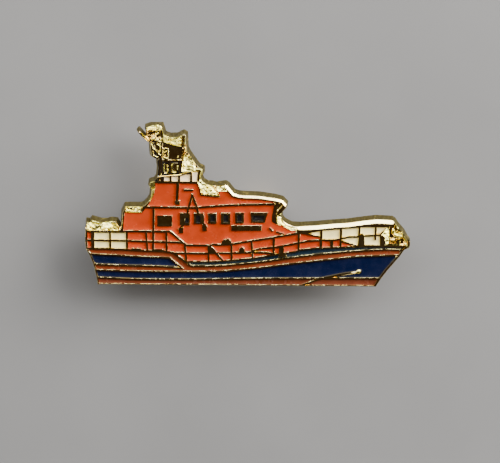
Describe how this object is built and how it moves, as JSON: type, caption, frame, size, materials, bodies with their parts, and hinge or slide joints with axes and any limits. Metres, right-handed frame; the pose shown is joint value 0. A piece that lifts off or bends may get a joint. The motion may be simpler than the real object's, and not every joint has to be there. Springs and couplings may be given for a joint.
{
  "type": "lifeboat lapel pin",
  "caption": "Gold-plated soft-enamel lapel pin shaped as a lifeboat seen from its side, with two pins on its back and sprung butterfly clutches that slide off them.",
  "frame": {"origin": "on the ground under the middle of the badge's outline, with the badge lying face up on its clutches", "axes": "+X from the stern to the bow, +Y from the keel to the masthead, +Z out of the badge's face"},
  "size_m": [0.0404, 0.0206, 0.0082],
  "materials": {
    "gold_plate": "polished gold plate, worn along the raised lines",
    "back_gold": "plain gold plate",
    "orange_enamel": "glossy soft enamel, sunk below the metal lines",
    "rust_enamel": "glossy soft enamel",
    "stripe_enamel": "glossy soft enamel",
    "navy_enamel": "glossy soft enamel",
    "teal_enamel": "glossy soft enamel",
    "cream_enamel": "glossy soft enamel",
    "pale_enamel": "glossy soft enamel"
  },
  "bodies": {
    "badge": {"struck_body": "gold_plate", "pin_aft": "back_gold", "pin_fore": "back_gold", "boot_stripe_aft": "rust_enamel", "boot_stripe_fore": "rust_enamel", "lower_hull_blue": "navy_enamel", "sheer_stripe": "stripe_enamel", "aft_hull_blue": "navy_enamel", "upper_stripe": "teal_enamel", "stern_edge_upper": "orange_enamel", "stern_edge_lower": "orange_enamel", "stern_white_1_upper": "cream_enamel", "stern_white_1_lower": "cream_enamel", "stern_white_2_upper": "cream_enamel", "stern_white_2_lower": "cream_enamel", "side_orange_1_upper": "orange_enamel", "side_orange_1_lower": "orange_enamel", "side_orange_2_upper": "orange_enamel", "side_orange_2_lower": "orange_enamel", "side_orange_3_upper": "orange_enamel", "side_orange_3_lower": "orange_enamel", "side_orange_4_upper": "orange_enamel", "side_orange_4_lower": "orange_enamel", "side_orange_5_lower": "orange_enamel", "side_orange_6_upper": "orange_enamel", "side_orange_6_lower": "orange_enamel", "side_orange_7_upper": "orange_enamel", "side_orange_7_lower": "orange_enamel", "side_orange_8_upper": "orange_enamel", "side_orange_8_lower": "orange_enamel", "side_orange_9_upper": "orange_enamel", "side_orange_9_middle": "orange_enamel", "side_orange_9_lower": "orange_enamel", "side_orange_10_upper": "orange_enamel", "side_orange_10_lower": "orange_enamel", "side_orange_11_upper": "orange_enamel", "side_orange_11_lower": "orange_enamel", "side_orange_12_lower": "orange_enamel", "fore_white_1": "cream_enamel", "fore_white_2": "cream_enamel", "fore_white_3": "cream_enamel", "fore_white_4": "cream_enamel", "fore_white_5": "cream_enamel", "fore_white_3_lower": "cream_enamel", "fore_white_4_lower": "cream_enamel", "aft_house_orange": "orange_enamel", "deck_house_orange": "orange_enamel", "wheelhouse_orange": "orange_enamel", "bridge_white_2": "pale_enamel", "bridge_white_3": "pale_enamel", "bridge_white_4": "pale_enamel", "bridge_white_5": "pale_enamel"},
    "clutch_aft": {"clutch_aft": "back_gold"},
    "clutch_fore": {"clutch_fore": "back_gold"},
    "wing_aft_upper": {"wing_aft_upper": "back_gold"},
    "wing_aft_lower": {"wing_aft_lower": "back_gold"},
    "wing_fore_upper": {"wing_fore_upper": "back_gold"},
    "wing_fore_lower": {"wing_fore_lower": "back_gold"}
  },
  "joints": [
    {"name": "clutch_aft_slide", "type": "slide", "parent": "badge", "child": "clutch_aft", "axis": [0, 0, -1], "range_m": [0, 0.0064]},
    {"name": "clutch_fore_slide", "type": "slide", "parent": "badge", "child": "clutch_fore", "axis": [0, 0, -1], "range_m": [0, 0.0064]},
    {"name": "wing_aft_upper_squeeze", "type": "hinge", "parent": "clutch_aft", "child": "wing_aft_upper", "pos_m": [-0.01081, -0.00367, 0.0052], "axis": [-1, 0, 0], "range_deg": [0, 10], "stiffness_Nm_per_rad": 0.001, "springref_deg": -5.16},
    {"name": "wing_aft_lower_squeeze", "type": "hinge", "parent": "clutch_aft", "child": "wing_aft_lower", "pos_m": [-0.01081, -0.00707, 0.0052], "axis": [1, 0, 0], "range_deg": [0, 10], "stiffness_Nm_per_rad": 0.001, "springref_deg": -5.16},
    {"name": "wing_fore_upper_squeeze", "type": "hinge", "parent": "clutch_fore", "child": "wing_fore_upper", "pos_m": [0.00189, -0.00367, 0.0052], "axis": [-1, 0, 0], "range_deg": [0, 10], "stiffness_Nm_per_rad": 0.001, "springref_deg": -5.16},
    {"name": "wing_fore_lower_squeeze", "type": "hinge", "parent": "clutch_fore", "child": "wing_fore_lower", "pos_m": [0.00189, -0.00707, 0.0052], "axis": [1, 0, 0], "range_deg": [0, 10], "stiffness_Nm_per_rad": 0.001, "springref_deg": -5.16}
  ],
  "couplings": [
    {"joint": "wing_aft_lower_squeeze", "follows": "wing_aft_upper_squeeze", "ratio": 1},
    {"joint": "wing_fore_lower_squeeze", "follows": "wing_fore_upper_squeeze", "ratio": 1}
  ]
}
